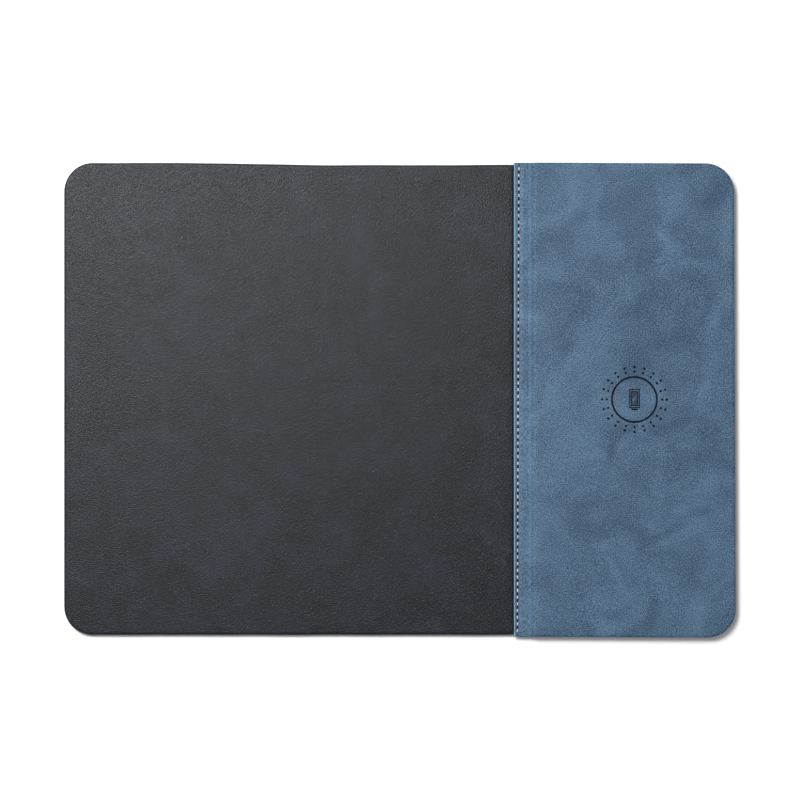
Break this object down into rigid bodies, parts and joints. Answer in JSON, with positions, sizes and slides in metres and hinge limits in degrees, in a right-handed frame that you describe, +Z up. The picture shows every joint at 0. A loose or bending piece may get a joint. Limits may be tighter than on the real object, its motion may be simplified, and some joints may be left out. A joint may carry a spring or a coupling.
{
  "type": "wireless charging pad",
  "caption": "Flat desk mat in dark grey and blue imitation leather with a stitched seam, folding like a book, with a wireless charging coil in the blue panel.",
  "frame": {"origin": "centre of the outline, on the face that lies on the desk, with the mat open and flat", "axes": "+X along the mat towards the charging panel, +Y towards the back edge with the power socket, +Z up out of the desk"},
  "size_m": [0.315, 0.2224, 0.006],
  "materials": {
    "dark_leather": "soft-grain imitation leather, dark grey, light sheen",
    "blue_leather": "soft-grain imitation leather, dusty blue, cloudy",
    "foam": "closed-cell foam",
    "board": "hard fibreboard",
    "base_sheet": "matt anti-slip sheet",
    "felt": "non-woven felt",
    "thread": "pale polyester thread",
    "housing_plastic": "moulded, fine spark texture",
    "screw_steel": "zinc-plated",
    "copper": "enamelled stranded copper wire",
    "adhesive": "double-sided tape",
    "ferrite": "sintered ferrite, matt",
    "component_black": "moulded epoxy",
    "component_grey": "moulded powder core",
    "lead_sleeve": "insulated wire",
    "circuit_board": "green solder mask",
    "socket_steel": "nickel-plated",
    "gold": "gold-plated contacts",
    "bezel_plastic": "moulded, satin",
    "led_white": "lamp body",
    "clear_plastic": "clear light guide",
    "ceramic": "ceramic capacitor"
  },
  "bodies": {
    "mat": {"dark_leather_top": "dark_leather", "foam_pad": "foam", "mat_board": "board", "mat_base_sheet": "base_sheet"},
    "spine": {"blue_leather_seam_strip": "blue_leather", "dark_leather_underlap": "dark_leather", "spine_felt": "felt", "spine_base_sheet": "base_sheet", "seam_needle_thread": "thread", "seam_bobbin_thread": "thread"},
    "charging_panel": {"blue_leather_top": "blue_leather", "charger_base_sheet": "base_sheet", "charger_tray": "housing_plastic", "charger_lid": "housing_plastic", "lid_screws": "screw_steel", "coil_winding": "copper", "coil_adhesive_disc": "adhesive", "ferrite_shield": "ferrite", "coil_leads": "copper", "thermistor": "component_black", "thermistor_leads": "lead_sleeve", "main_board": "circuit_board", "board_screws": "screw_steel", "usb_c_shell": "socket_steel", "usb_c_tongue": "component_black", "usb_c_contacts": "gold", "port_bezel": "bezel_plastic", "status_led": "led_white", "led_light_pipe": "clear_plastic", "charge_controller": "component_black", "power_transistors": "component_black", "resonance_capacitors": "ceramic", "filter_capacitors": "ceramic", "input_inductor": "component_grey"}
  },
  "joints": [
    {"name": "fold_at_mat", "type": "hinge", "parent": "mat", "child": "spine", "pos_m": [0.0527, 0, 0.0026], "axis": [0, -1, 0], "range_deg": [0, 90]},
    {"name": "fold_at_panel", "type": "hinge", "parent": "spine", "child": "charging_panel", "pos_m": [0.0604, 0, 0.0034], "axis": [0, -1, 0], "range_deg": [0, 90]}
  ]
}
